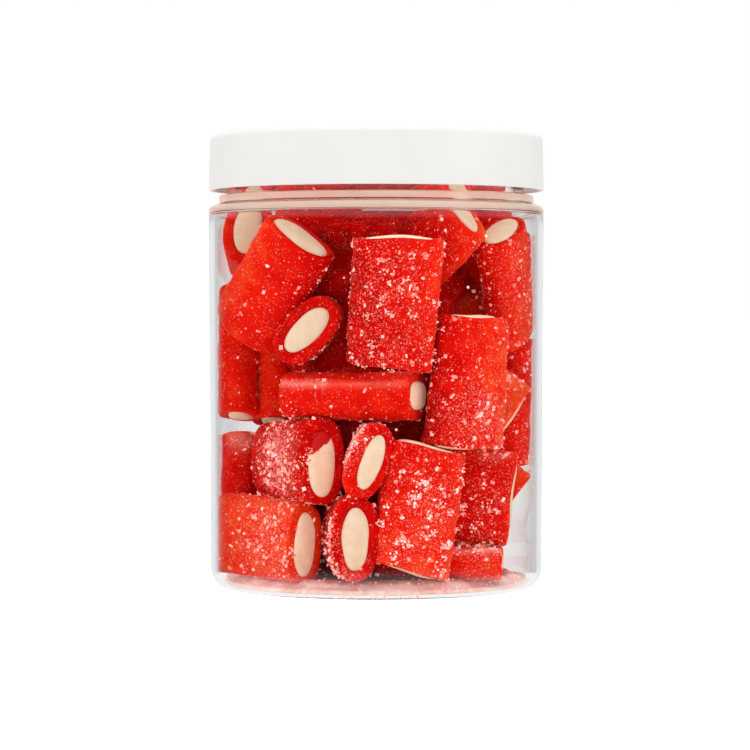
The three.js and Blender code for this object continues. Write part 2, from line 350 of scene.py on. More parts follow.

# middle; lean from upright, compass turn of that lean and spin about its own length; width, thickness
# and length. A twin lies behind the jar's middle plane, facing the other way. Rim is how thick the red
# skin is, bore how far the filling is off the middle, cut the slope of both ends, coat how much sugar.
# Tone is painted light and shade: how light the red is at the middle, partly the sweet's own red and
# partly painted shade, and how much lighter it is painted to the right and to the top, where the light
# falls. Glow is painted light: an emission that lightens a filling that lies in shade
sweets = {
    "a": {"at": (4.6, -34.4, 77.9), "turn": (6.5, -45, 45), "size": (23.1, 13.2, 34.2), "twin": True,
          "cut": (0.065, 0, -0.04, 0), "coat": 0.3, "toneAndPaintedShade": (0.5, 0.2, 0.05), "paintedGlow": 0.5},
    "b": {"at": (23.8, -27, 56.8), "turn": (4.6, 0, 37), "size": (21.9, 12.6, 34.6), "twin": True,
          "taper": -0.07, "coat": 0.2, "toneAndPaintedShade": (0.6, 0.3, 0.0), "paintedGlow": 0.3},
    "c": {"at": (-27.3, -22.3, 82.6), "turn": (41, -46, 28), "size": (20.4, 12, 33.5), "rim": 2.0,
          "coat": 0.12, "toneAndPaintedShade": (0.6, -0.2, 0.1)},
    "d": {"at": (-35.4, 3, 95.8), "turn": (77, -87, -9), "size": (20, 12.8, 24), "coat": 0.05,
          "toneAndPaintedShade": (0.6, -0.1, 0)},
    "e": {"at": (-37.2, 1, 63.8), "turn": (10, 90, -8), "size": (22, 11.4, 35), "coat": 0.1,
          "toneAndPaintedShade": (0.7, 0, 0), "paintedGlow": 0.12},
    "f": {"at": (-28.4, 4.5, 61.5), "turn": (10, 90, 6), "size": (21, 12, 33), "coat": 0.08,
          "toneAndPaintedShade": (0.68, 0, 0), "paintedGlow": 0.12},
    "g": {"at": (-5.8, -26, 53.3), "turn": (90.3, -14, 90), "size": (22.5, 12.8, 35), "taper": 0.05,
          "coat": 0.1, "toneAndPaintedShade": (0.55, 0, 0.05), "paintedGlow": 0.15},
    "h": {"at": (-16.6, -15.5, 70.6), "turn": (90, -96, 134), "size": (20.5, 12.2, 31), "coat": 0.25,
          "toneAndPaintedShade": (0.4, 0.1, -0.15)},
    "n": {"at": (10.6, -34.2, 23.5), "turn": (7.6, 0, 14), "size": (21.4, 12.8, 33), "twin": True,
          "cut": (-0.084, 0, -0.145, 0), "coat": 0.3, "toneAndPaintedShade": (0.64, 0.06, -0.16), "paintedGlow": 0.2},
    "q": {"at": (-21.3, -19.8, 35.1), "turn": (86.5, -64, 0), "size": (22.6, 12.8, 33), "bore": (0.8, 0),
          "coat": 0.2, "toneAndPaintedShade": (0.3, 0, 0), "paintedGlow": 0.16},
    "r": {"at": (-2.8, -24.4, 36.2), "turn": (90, -87, -18), "size": (20.5, 10.8, 33.5), "twin": True,
          "bore": (0, 0.7), "coat": 0.15, "toneAndPaintedShade": (0.5, -0.2, 0)},
    "s": {"at": (-29.6, -19.2, 14.4), "turn": (93, -46, 0), "size": (22.4, 12.4, 31.6), "coat": 0.25,
          "toneAndPaintedShade": (0.8, 0, 0), "paintedGlow": 0.26},
    "t": {"at": (-7.4, -24, 15.9), "turn": (90, -83, 0), "size": (22.3, 12.2, 33), "twin": True,
          "coat": 0.25, "toneAndPaintedShade": (0.4, 0, 0)},
    "j": {"at": (12.5, -15.3, 91.8), "turn": (49, -36, -20), "size": (23, 12.6, 34), "twin": True,
          "coat": 0.18, "toneAndPaintedShade": (0.4, 0.35, 0)},
    "k": {"at": (35.1, -9.3, 82.9), "turn": (32, -104, 164), "size": (18.2, 10.6, 34), "rim": 1.7,
          "coat": 0.36, "toneAndPaintedShade": (0.66, 0.25, 0), "paintedGlow": 0.1},
    "l": {"at": (38.3, 7.5, 50.5), "turn": (3, 0, 80), "size": (22, 11.6, 35), "coat": 0.25,
          "toneAndPaintedShade": (0.65, 0, 0)},
    "m": {"at": (21.8, -8.5, 55.5), "turn": (125, -7, 0), "size": (22.5, 12.4, 34), "coat": 0.6,
          "toneAndPaintedShade": (0.95, 0, 0)},
    "o1": {"at": (18.9, -18.6, 26.9), "turn": (96, -6.5, 0), "size": (25, 12.2, 34), "twin": True,
           "coat": 0.14, "toneAndPaintedShade": (0.48, 0, 0)},
    "o2": {"at": (16.8, -18.8, 8.1), "turn": (91, -5, 90), "size": (22.5, 9.4, 33), "twin": True,
           "coat": 0.25, "toneAndPaintedShade": (0.6, 0.1, 0)},
    "p": {"at": (24, -5, 32.6), "turn": (129, 0, 0), "size": (20.5, 11.6, 31), "coat": 0.3,
          "toneAndPaintedShade": (0.8, 0, 0)},
    "u": {"at": (-37.6, 6, 24.4), "turn": (8, 100, -4), "size": (22, 12.6, 34), "coat": 0.04,
          "toneAndPaintedShade": (0.4, 0, 0.12)},
    "i": {"at": (-16.5, -6.6, 96), "turn": (4, 0, 6), "size": (23.5, 12.4, 34), "twin": True, "coat": 0.15,
          "toneAndPaintedShade": (0.35, 0, 0)},
    "w": {"at": (25.5, 3, 93.5), "turn": (6, 0, 14), "size": (22.5, 12.6, 34), "coat": 0.12,
          "toneAndPaintedShade": (0.4, 0, 0)},
    "x1": {"at": (-21.5, 25, 22.4), "turn": (4, 41, 0), "size": (22, 12.6, 34)},
    "x2": {"at": (-26, 27, 64), "turn": (5, -136, 180), "size": (22, 12.6, 34)},
    "x3": {"at": (-19, 28, 92.4), "turn": (90, 32, 0), "size": (21, 12.6, 34)},
    "x5": {"at": (37.4, 8, 84.5), "turn": (5, 100, 0), "size": (20, 12, 24)},
    "x6": {"at": (-3.4, 26, 53.3), "turn": (92.5, 10, 90), "size": (22.5, 12.8, 29)},
    "x7": {"at": (-12.5, 23.5, 71.5), "turn": (90, 97, -10), "size": (20.5, 12, 32)},
}

# sweets in the middle of the heap, dark and half hidden
innerSweets = {
    "y1": {"at": (-4, -6, 72), "turn": (12, 30, 20), "size": (22, 12.4, 34)},
    "y2": {"at": (14, -2, 82), "turn": (20, 200, 60), "size": (22, 12.4, 34)},
    "y3": {"at": (-2, -4, 44), "turn": (88, 20, 40), "size": (22, 12.4, 34)},
    "y4": {"at": (0, 4, 24), "turn": (86, 70, 10), "size": (22, 12.4, 34)},
    "y5": {"at": (6, 4, 62), "turn": (70, 150, 30), "size": (22, 12.4, 34)},
    "y6": {"at": (-14, 6, 80), "turn": (30, 120, 10), "size": (22, 12.4, 34)},
    "y7": {"at": (4, 5, 96), "turn": (84, 88, 60), "size": (22, 12.4, 30)},
    "y8": {"at": (-12, 4, 52), "turn": (60, 100, 0), "size": (22, 12.4, 34)},
    "y9": {"at": (22, 3, 73), "turn": (84, 20, 0), "size": (22, 14, 30)},
}


def axesOf(lean, turn, spin):
    lean, turn, spin = (math.radians(v) for v in (lean, turn, spin))

    def aboutUp(angle):
        return np.array([[math.cos(angle), -math.sin(angle), 0],
                         [math.sin(angle), math.cos(angle), 0], [0, 0, 1]])

    tilt = np.array([[math.cos(lean), 0, math.sin(lean)], [0, 1, 0],
                     [-math.sin(lean), 0, math.cos(lean)]])
    return aboutUp(turn) @ tilt @ aboutUp(spin)


def placedSweets():
    placed = []
    for group, inner in ((sweets, 0.0), (innerSweets, 1.0)):
        for name, sweet in group.items():
            for side in ((1, -1) if sweet.get("twin") else (1,)):
                lean, turn, spin = sweet["turn"]
                x, y, z = sweet["at"]
                placed.append({"name": name if side > 0 else name + "Back", "inner": inner,
                               "at": np.array([x, side * y, z]), "size": sweet["size"],
                               "axes": axesOf(lean, side * turn, side * spin),
                               "cut": sweet.get("cut", (0, 0, 0, 0)), "taper": sweet.get("taper", 0.0),
                               "bore": np.array(sweet.get("bore", (0, 0))) * (1, side),
                               "rim": sweet.get("rim", sweetShape["rim"]),
                               "coat": sweet.get("coat", sweetShape["coat"]),
                               "toneAndPaintedShade": sweet.get("toneAndPaintedShade", sweetShape["toneAndPaintedShade"]),
                               "paintedGlow": sweet.get("paintedGlow", 0.0) if side > 0 else 0.0})
    return placed


def ovalRing(sides, halfWide, halfThick, squareness):
    angles = (np.arange(sides) + 0.5) * 2 * np.pi / sides
    c, s = np.cos(angles), np.sin(angles)
    power = 2 / squareness
    return np.stack([halfWide * np.sign(c) * np.abs(c) ** power,
                     halfThick * np.sign(s) * np.abs(s) ** power], axis=1)


def ringPlan(length, rim):
    # (inset, height) of each ring round the closed section of the red skin, from the bore outward
    edge = sweetShape["edge"]
    half = length / 2
    end = [(rim, half - 3.5), (rim, half - 0.55), (rim - 0.12, half - 0.2), (rim - 0.45, half - 0.02),
           (rim - 1.0, half + 0.03), (edge + 0.25, half), (edge * 0.62, half - edge * 0.07),
           (edge * 0.25, half - edge * 0.32), (edge * 0.04, half - edge * 0.72)]
    side = [(0.0, h) for h in np.linspace(half - edge * 1.5, -half + edge * 1.5, sweetShape["rings"])]
    return end + side + [(inset, -h) for inset, h in reversed(end)]


def shapeWaves(rng):
    # a sweet's own gentle bend, taper, twist and unevenness
    return {"bow": rng.uniform(-0.5, 0.5), "taper": rng.uniform(-0.03, 0.03),
            "twist": math.radians(rng.uniform(-4, 4)), "phase": rng.uniform(0, 6.28, 6),
            "rise": rng.uniform(0.12, 0.24)}


def warped(local, size, waves, cut):
    x, y, z = local.T
    length = size[2]
    t = z / length
    angle = np.arctan2(y / size[1], x / size[0])
    phase = waves["phase"]
    lump = (np.sin(0.42 * z + phase[0]) * np.cos(2 * angle + phase[1])
            + 0.7 * np.sin(0.75 * z + phase[2]) * np.cos(3 * angle + phase[3])
            + 0.5 * np.sin(1.25 * z + phase[4]) * np.cos(5 * angle + phase[5])) * waves["rise"]
    reach = np.hypot(x / size[0], y / size[1]) * 2
    scale = 1 + waves["taper"] * t * 2
    x = x * scale + lump * np.cos(angle) * reach
    y = y * scale + lump * np.sin(angle) * reach + waves["bow"] * (1 - 4 * t * t)
    c, s = np.cos(waves["twist"] * t), np.sin(waves["twist"] * t)
    topX, topY, bottomX, bottomY = cut
    z = z + np.maximum(0, 2 * t) * (topX * x + topY * y) + np.maximum(0, -2 * t) * (bottomX * x + bottomY * y)
    z = z + 0.25 * np.sin(0.35 * x + phase[0]) * np.abs(2 * t) ** 3
    return np.stack([x * c - y * s, x * s + y * c, z], axis=1)


def pressedShift(points, mine, heap):
    # out of each neighbour by half of how deep a point lies in it
    shift = np.zeros_like(points)
    power = sweetShape["squareness"]
    for other in heap:
        apart = np.linalg.norm(other["at"] - mine["at"])
        if other is mine or other["inner"] > mine["inner"] or apart > sweetShape["neighbourReach"]:
            continue
        halfWide, halfThick, halfLong = (v / 2 for v in other["size"])
        local = (points - other["at"]) @ other["axes"]
        x, y, z = local.T
        level = ((np.abs(x) / halfWide) ** power + (np.abs(y) / halfThick) ** power) ** (1 / power)
        level = np.maximum(level, 0.05)
        sideDepth = np.hypot(x, y) * (1 / level - 1)
        endDepth = halfLong - np.abs(z)
        inside = (level < 1) & (endDepth > 0)
        slope = np.stack([np.sign(x) * np.abs(x / halfWide) ** (power - 1) / halfWide,
                          np.sign(y) * np.abs(y / halfThick) ** (power - 1) / halfThick,
                          np.zeros_like(x)], axis=1)
        slope /= np.linalg.norm(slope, axis=1, keepdims=True) + 1e-9
        lengthwise = np.stack([np.zeros_like(x), np.zeros_like(x), np.sign(z)], axis=1)
        sideways = sideDepth < endDepth
        push = np.where(sideways[:, None], slope * sideDepth[:, None], lengthwise * endDepth[:, None])
        shift += np.where(inside[:, None], push * 0.5, 0.0) @ other["axes"].T
    far = np.linalg.norm(shift, axis=1, keepdims=True)
    return shift * np.minimum(1.0, sweetShape["deepestPress"] / np.maximum(far, 1e-6))


wallProfile = [(r, h) for r, h in insideProfile() if r > jar["footRadius"] - 0.5]


def keptInside(points, gap=0.12):
    heights = [h for r, h in wallProfile]
    radii = [r for r, h in wallProfile]
    order = np.argsort(heights)
    limit = np.interp(points[:, 2], np.array(heights)[order], np.array(radii)[order]) - gap
    far = np.hypot(points[:, 0], points[:, 1])
    scale = np.minimum(1.0, limit / np.maximum(far, 1e-6))
    low = jar["panelRise"] + jar["floorThickness"] + 0.05
    high = lid["top"] - lid["roof"] - 0.3
    return np.stack([points[:, 0] * scale, points[:, 1] * scale,
                     np.clip(points[:, 2], low, high)], axis=1)


def smoothed(shift, rings, sides, times, closed):
    grid = shift.reshape(rings, sides, 3)
    for _ in range(times):
        around = (np.roll(grid, 1, axis=1) + np.roll(grid, -1, axis=1)) / 2
        if closed:
            along = (np.roll(grid, 1, axis=0) + np.roll(grid, -1, axis=0)) / 2
        else:
            padded = np.concatenate([grid[:1], grid, grid[-1:]])
            along = (padded[:-2] + padded[2:]) / 2
        grid = grid * 0.4 + around * 0.3 + along * 0.3
    return grid.reshape(-1, 3)


def skinOf(sweet, heap, waves):
    size, sides, rim = sweet["size"], sweetShape["sides"], sweet["rim"]
    plan = ringPlan(size[2], rim)
    local = []
    for inset, height in plan:
        share = inset / rim
        squareness = sweetShape["squareness"] * (1 - share) + sweetShape["boreSquareness"] * share
        ring = ovalRing(sides, size[0] / 2 - inset, size[1] / 2 - inset, squareness) + sweet["bore"] * share
        local.append(np.column_stack([ring, np.full(sides, height)]))
    local = np.concatenate(local)
    points = warped(local, size, waves, sweet["cut"]) @ sweet["axes"].T + sweet["at"]
    shift = smoothed(pressedShift(points, sweet, heap), len(plan), sides, 2, True)
    points = keptInside(points + shift)
    faces = []
    for i in range(len(plan)):
        low, high = i * sides, (i + 1) % len(plan) * sides
        for k in range(sides):
            after = (k + 1) % sides
            faces.append([low + k, high + k, high + after, low + after])
    endFace = np.repeat([1.0 if inset > sweetShape["edge"] * 0.5 else 0.0 for inset, h in plan], sides)
    return points, faces, endFace


def creamOf(sweet, heap, waves):
    size, sides, rim = sweet["size"], sweetShape["creamSides"], sweet["rim"] - 0.12
    half, bulge = size[2] / 2, waves["bulge"]
    dome = [(0.985, -0.35), (0.94, 0.0), (0.84, 0.45), (0.68, 0.75), (0.48, 0.92), (0.25, 1.0)]
    end = [(share, half + bulge * rise if rise >= 0 else half + rise) for share, rise in dome[::-1]]
    body = [(1.0, h) for h in np.linspace(half - 0.8, -half + 0.8, 8)]
    plan = end + body + [(share, -h) for share, h in reversed(end)]
    rings = []
    for share, height in plan:
        ring = ovalRing(sides, size[0] / 2 - rim, size[1] / 2 - rim, sweetShape["boreSquareness"]) * share
        rings.append(np.column_stack([ring + sweet["bore"], np.full(sides, height)]))
    boreX, boreY = sweet["bore"]
    poles = np.array([[boreX, boreY, half + bulge * 1.02], [boreX, boreY, -half - bulge * 1.02]])
    local = np.concatenate(rings + [poles])
    points = warped(local, size, waves, sweet["cut"]) @ sweet["axes"].T + sweet["at"]
    shift = pressedShift(points, sweet, heap)
    shift[:-2] = smoothed(shift[:-2], len(plan), sides, 2, False)
    points = keptInside(points + shift, 0.2)
    faces = []
    for i in range(len(plan) - 1):
        for k in range(sides):
            after = (k + 1) % sides
            low, high = i * sides, (i + 1) * sides
            faces.append([low + k, high + k, high + after, low + after])
    top, bottom = len(plan) * sides, len(plan) * sides + 1
    last = (len(plan) - 1) * sides
    for k in range(sides):
        after = (k + 1) % sides
        faces.append([top, k, after])
        faces.append([bottom, last + after, last + k])
    return points, faces


# where the sugar lies thick: middle, reach and how much
sugarDrifts = [
    {"at": (2, -41, 81), "reach": 9, "amount": 0.3}, {"at": (5, -41, 65), "reach": 8, "amount": 0.25},
    {"at": (-9, -14, 96), "reach": 4, "amount": 1.5},
    {"at": (27, -33, 47), "reach": 9, "amount": 0.9}, {"at": (14, -41, 26), "reach": 7, "amount": 0.4},
    {"at": (9, -41, 14), "reach": 7, "amount": 0.4}, {"at": (29, -29, 26), "reach": 7, "amount": 0.5},
    {"at": (-27, -24, 36.5), "reach": 8.5, "amount": 3.0}, {"at": (-27, -29, 14), "reach": 10, "amount": 1.0},
    {"at": (-13, -40, 15), "reach": 4, "amount": 2.2}, {"at": (-8, -41, 7), "reach": 3.5, "amount": 1.8},
    {"at": (-7.5, -40.5, 41), "reach": 5, "amount": 5.0}, {"at": (30, -24, 38.5), "reach": 3, "amount": 1.5},
    {"at": (28, -27, 12), "reach": 5, "amount": 1.2},
    {"at": (-25, -31, 56.6), "to": (-14, -34, 56.8), "reach": 1.3, "amount": 1.0},
    {"at": (20, -28, 13), "to": (34, -26, 12.4), "reach": 1.4, "amount": 3.5},
    {"at": (31, -25, 39), "to": (36, -22, 39.5), "reach": 1.6, "amount": 3.0},
    {"at": (-43, -5, 40.5), "to": (-31, -2, 41), "reach": 3.0, "amount": 1.6},
]
# painted highlights: thin pale lines painted along ridges, where the light catches them
paintedRidgeHighlights = [
    {"at": (-25, -32, 56.8), "to": (-14, -34.8, 56.8), "reach": 1.3, "amount": 1.0},
    {"at": (-14, -34.8, 56.8), "to": (7, -40, 56.4), "reach": 1.0, "amount": 0.65},
    {"at": (18, -27, 12.4), "to": (34, -27, 12.2), "reach": 1.8, "amount": 0.7},
    {"at": (-44, -4, 40.4), "to": (-31, -2, 41.0), "reach": 3.0, "amount": 0.7},
    {"at": (27, -26, 38.6), "to": (34, -24, 38.0), "reach": 1.6, "amount": 0.7},
]
skinPoints = {}


def heaped(points, places):
    # the amount of sugar that a list of round or long places adds at each point
    total = np.zeros(len(points))
    for place in places:
        start = np.array(place["at"], dtype=float)
        run = np.array(place.get("to", place["at"])) - start
        along = np.clip((points - start) @ run / max(run @ run, 1e-9), 0, 1)
        away = np.linalg.norm(points - start - along[:, None] * run, axis=1) / place["reach"]
        total += place["amount"] * np.exp(-away ** 2)
    return total


def makeSweets():
    rng = np.random.default_rng(sweetShape["seed"])
    heap = placedSweets()
    skins, creams = [], []
    coat, paintedHighlight, toneAndPaintedShade, paintedGlow = [], [], [], []
    for sweet in heap:
        waves = shapeWaves(rng)
        waves["bulge"] = sweetShape["bulge"] * rng.uniform(0.6, 1.4)
        waves["taper"] += sweet["taper"]
        points, faces, endFace = skinOf(sweet, heap, waves)
        skins.append((points, faces))
        skinPoints[sweet["name"]] = points
        creams.append(creamOf(sweet, heap, waves))
        # painted light for this sweet's filling, as an emission strength
        paintedGlow += [sweet["paintedGlow"]] * len(creams[-1][0])
        # the coat thins toward the middle of the heap, and a cut end takes less of it
        outward = np.clip((np.hypot(points[:, 0], points[:, 1]) - 18) / 10, 0.15, 1)
        coat.append((sweet["coat"] * outward + heaped(points, sugarDrifts)) * (1 - 0.7 * endFace))
        # painted highlight along the ridges, kept off the cut ends
        paintedHighlight.append(heaped(points, paintedRidgeHighlights) * (1 - endFace))
        # painted light and shade: the red is painted lighter or darker at the sweet's middle and grows
        # lighter towards the right and the top; sweets inside the heap are painted lighter by innerTone
        middle, right, up = sweet["toneAndPaintedShade"]
        middle += sweetShape["innerTone"] * sweet["inner"]
        offset = points - sweet["at"]
        toneAndPaintedShade.append(middle + right * offset[:, 0] / 12 + up * offset[:, 2] / 17 + rng.uniform(-0.04, 0.04))
    allPoints, skinFaces = joined(skins)
    creamPoints, creamFaces = joined(creams)
    attributes = {"coat": np.concatenate(coat), "paintedHighlight": np.concatenate(paintedHighlight), "toneAndPaintedShade": np.concatenate(toneAndPaintedShade)}
    skin = makePiece("gummySkins", allPoints, skinFaces, gummyMaterial(), attributes)
    cream = makePiece("creamFillings", creamPoints, creamFaces, creamMaterial(), {"paintedGlow": paintedGlow})
    return skin, cream


# three layers of dust: width of a cell, thinnest and widest speck as a share of it, share of cells filled
dustLook = {
    "layers": [(0.43478 * mm, 0.26, 0.5, 1.0), (0.66667 * mm, 0.2, 0.44, 0.9),
               (1.05263 * mm, 0.14, 0.34, 0.6)],
    "sharpness": 9.0, "dimmest": 0.35, "brighterBy": 0.6,
}
gummyLook = {
    # the red runs from the deep red of painted shade to the orange of painted light
    "red": [(0.1, "#980000"), (0.42, "#d80300"), (0.7, "#f01a02"), (1.0, "#f85420")],
    "dustAndHighlight": [(0.0, "#ff705a"), (0.2, "#ff9484"), (0.6, "#ffc4b8")], "paintedLitFrost": "#ff9a70",
    "cloud": 4.5455 * mm, "patch": 3.3333 * mm,
}


def dustSpecks(tree, place, thick, cell, thinnest, widest, share):
    # round specks in a share of the cells of a grid, each with its own size and brightness
    cells = addNode(tree, "ShaderNodeTexVoronoi", {"Vector": place, "Scale": 1 / cell}).outputs
    chance = addNode(tree, "ShaderNodeSeparateColor", {"Color": cells["Color"]}).outputs
    radius = addNode(tree, "ShaderNodeMath", {0: chance["Red"], 1: widest - thinnest, 2: thinnest},
                     operation="MULTIPLY_ADD")
    inside = addNode(tree, "ShaderNodeMath", {0: radius, 1: cells["Distance"]}, operation="SUBTRACT")
    disc = addNode(tree, "ShaderNodeMath", {0: inside, 1: dustLook["sharpness"]}, operation="MULTIPLY",
                   use_clamp=True)
    limit = addNode(tree, "ShaderNodeMath", {0: thick, 1: share}, operation="MULTIPLY")
    filled = addNode(tree, "ShaderNodeMath", {0: chance["Green"], 1: limit}, operation="LESS_THAN")
    strength = addNode(tree, "ShaderNodeMath", {0: chance["Blue"], 1: dustLook["brighterBy"],
                       2: dustLook["dimmest"]}, operation="MULTIPLY_ADD")
    speck = addNode(tree, "ShaderNodeMath", {0: disc, 1: filled}, operation="MULTIPLY")
    return addNode(tree, "ShaderNodeMath", {0: speck, 1: strength}, operation="MULTIPLY")


def gummyMaterial():
    # starch and gelatine gummy, extruded and sugared: deep translucent red, sticky satin skin
    # under sugar dust, whose finest specks are drawn 0.2 mm wide so that they show; the red carries
    # painted light and shade, and pale painted highlights run along some ridges
    material, tree = newMaterial("redGummy")
    place = addNode(tree, "ShaderNodeTexCoord").outputs["Object"]
    toneAndPaintedShade, coat, paintedHighlight = [addNode(tree, "ShaderNodeAttribute", attribute_name=label).outputs["Fac"]
                        for label in ("toneAndPaintedShade", "coat", "paintedHighlight")]
    cloud = addNode(tree, "ShaderNodeTexNoise", {"Vector": place, "Scale": 1 / gummyLook["cloud"],
                    "Detail": 3.0})
    drift = addNode(tree, "ShaderNodeMapRange", {"Value": cloud, "From Min": 0.25, "From Max": 0.75,
                    "To Min": -0.12, "To Max": 0.12}, interpolation_type="SMOOTHSTEP")
    # the red's level is random clouding plus each sweet's painted light and shade
    depth = addNode(tree, "ShaderNodeMath", {0: drift, 1: toneAndPaintedShade}, operation="ADD")
    red = addNode(tree, "ShaderNodeValToRGB", {"Fac": depth}, gummyLook["red"])

    # how thick the dust lies: the painted coat, broken into patches
    patches = addNode(tree, "ShaderNodeTexNoise", {"Vector": place, "Scale": 1 / gummyLook["patch"],
                      "Detail": 3.0})
    patchy = addNode(tree, "ShaderNodeMapRange", {"Value": patches, "From Min": 0.34, "From Max": 0.66,
                     "To Min": -0.14, "To Max": 0.34}, interpolation_type="SMOOTHSTEP")
    coated = addNode(tree, "ShaderNodeMapRange", {"Value": coat, "From Min": 0.0, "From Max": 0.9,
                     "To Min": 0.14, "To Max": 1.0}, interpolation_type="SMOOTHSTEP")
    thick = addNode(tree, "ShaderNodeMath", {0: patchy, 1: coated}, operation="ADD")
    dustAndHighlight = 0.0
    for layer in dustLook["layers"]:
        specks = dustSpecks(tree, place, thick, *layer)
        dustAndHighlight = addNode(tree, "ShaderNodeMath", {0: dustAndHighlight, 1: specks}, operation="MAXIMUM")

    # its colour: paler where it is thick, and warmer where the sweets are painted lit
    amount = addNode(tree, "ShaderNodeMath", {0: coat, 1: 0.22}, operation="MULTIPLY")
    pale = addNode(tree, "ShaderNodeValToRGB", {"Fac": amount}, gummyLook["dustAndHighlight"])
    warm = addNode(tree, "ShaderNodeMapRange", {"Value": depth, "From Min": 0.62, "From Max": 1.0,
                   "To Min": 0.0, "To Max": 0.7}, interpolation_type="SMOOTHSTEP")
    frostColour = addNode(tree, "ShaderNodeMix", {"Factor": warm, "A": pale, "B": gummyLook["paintedLitFrost"]},
                          data_type="RGBA")
    broken = addNode(tree, "ShaderNodeMapRange", {"Value": cloud, "From Min": 0.3, "From Max": 0.6,
                     "To Min": 0.6, "To Max": 1.0}, interpolation_type="SMOOTHSTEP")
    # painted highlight: the pale ridge lines, broken by the clouding, join the dust specks
    paintedHighlight = addNode(tree, "ShaderNodeMath", {0: paintedHighlight, 1: broken}, operation="MULTIPLY")
    dustAndHighlight = addNode(tree, "ShaderNodeMath", {0: dustAndHighlight, 1: paintedHighlight}, operation="MAXIMUM")
    colour = addNode(tree, "ShaderNodeMix", {"Factor": dustAndHighlight, "A": red, "B": frostColour}, data_type="RGBA")
    bump = addNode(tree, "ShaderNodeBump", {"Height": dustAndHighlight, "Strength": 0.7, "Distance": 0.18 * mm})
    shader = addNode(tree, "ShaderNodeBsdfPrincipled", {
        "Base Color": colour, "Roughness": 0.5, "IOR": 1.47, "Specular IOR Level": 0.05,
        "Sheen Weight": 0.22, "Sheen Roughness": 0.25, "Sheen Tint": "#ff7a68",
        "Subsurface Weight": 0.25, "Subsurface Radius": (1.0, 0.08, 0.04), "Subsurface Scale": 1.5 * mm,
        "Normal": bump})
    addNode(tree, "ShaderNodeOutputMaterial", {"Surface": shader})
    return material


# red skin dragged over the filling by the cut: middle and reach
smears = [{"at": (-20, -34.5, 47.4), "reach": 11.7}]


def creamMaterial():
    # cream fondant filling: opaque, matt, warm ivory with faint clouding, and painted light where it lies in
    # shade
    material, tree = newMaterial("creamFondant")
    place = addNode(tree, "ShaderNodeTexCoord").outputs["Object"]
    paintedGlow = addNode(tree, "ShaderNodeAttribute", attribute_name="paintedGlow").outputs["Fac"]
    cloud = addNode(tree, "ShaderNodeTexNoise", {"Vector": place, "Scale": 1 / (3.3333 * mm), "Detail": 4.0})
    wander = addNode(tree, "ShaderNodeTexNoise", {"Vector": place, "Scale": 1 / (3.8462 * mm), "Detail": 3.0})
    grain = addNode(tree, "ShaderNodeTexNoise", {"Vector": place, "Scale": 1 / (0.66667 * mm), "Detail": 2.0})
    colour = addNode(tree, "ShaderNodeValToRGB", {"Fac": cloud}, [(0.3, "#ebc9a6"), (0.7, "#f4dbbf")])
    for smear in smears:
        away = addNode(tree, "ShaderNodeVectorMath", {0: place, 1: tuple(v * mm for v in smear["at"])},
                       operation="DISTANCE")
        ragged = addNode(tree, "ShaderNodeMath", {0: wander, 1: 3 * mm, 2: away}, operation="MULTIPLY_ADD")
        dragged = addNode(tree, "ShaderNodeMapRange", {
            "Value": ragged, "From Min": smear["reach"] * mm, "From Max": (smear["reach"] - 0.4) * mm},
            interpolation_type="SMOOTHSTEP")
        colour = addNode(tree, "ShaderNodeMix", {"Factor": dragged, "A": colour, "B": "#c00300"},
                         data_type="RGBA")
    bump = addNode(tree, "ShaderNodeBump", {"Height": grain, "Strength": 0.35, "Distance": 0.1 * mm})
    shader = addNode(tree, "ShaderNodeBsdfPrincipled", {
        "Base Color": colour, "Roughness": 0.6, "Specular IOR Level": 0.3,
        "Subsurface Weight": 0.25, "Subsurface Radius": (1.0, 0.55, 0.3), "Subsurface Scale": 2 * mm,
        # painted light: an emission, as strong as each filling's painted glow, lightens fillings that lie in
        # shade
        "Emission Color": colour, "Emission Strength": paintedGlow, "Normal": bump})
    addNode(tree, "ShaderNodeOutputMaterial", {"Surface": shader})
    return material


gummySkins, creamFillings = makeSweets()
for piece in (gummySkins, creamFillings):
    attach(piece, "root")
    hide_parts("sweets")
print("sweets made", len(gummySkins.data.polygons), len(creamFillings.data.polygons))


# ---- the plain core of the heap, painted dark red as the shade deep inside it

heart = {"radius": 25.0, "bottom": 8.0, "top": 104.0, "sides": 48, "rings": 30, "lump": 1.8}


def makeHeart():
    profile = [(0, heart["bottom"])]
    for t in np.linspace(0, 1, heart["rings"]):
        height = heart["bottom"] + (heart["top"] - heart["bottom"]) * t
        radius = heart["radius"] * min(1.0, 6 * t + 0.5, 6 * (1 - t) + 0.5)
        profile.append((radius, height))
    profile.append((0, heart["top"]))
    points, faces = turned(profile, heart["sides"])
    points = np.array(points)
    x, y, z = points.T
    angle = np.arctan2(y, x)
    lump = 1 + heart["lump"] / heart["radius"] * (np.sin(0.31 * z + 2 * angle) + np.sin(0.47 * z - 3 * angle))
    points[:, 0] *= lump
    points[:, 1] *= lump
    count = len(points)
    # painted shade: the core's red is set low, so it shows dark red in the gaps between the sweets
    return makePiece("heapHeart", points, faces, gummySkins.data.materials[0],
                     {"coat": np.full(count, 0.1), "paintedHighlight": np.zeros(count), "toneAndPaintedShade": np.full(count, 0.2)})


heapHeart = makeHeart()
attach(heapHeart, "root")
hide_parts("sweets")
print("heart made")


# ---- sugar: loose crystals of table sugar, scattered by Geometry Nodes

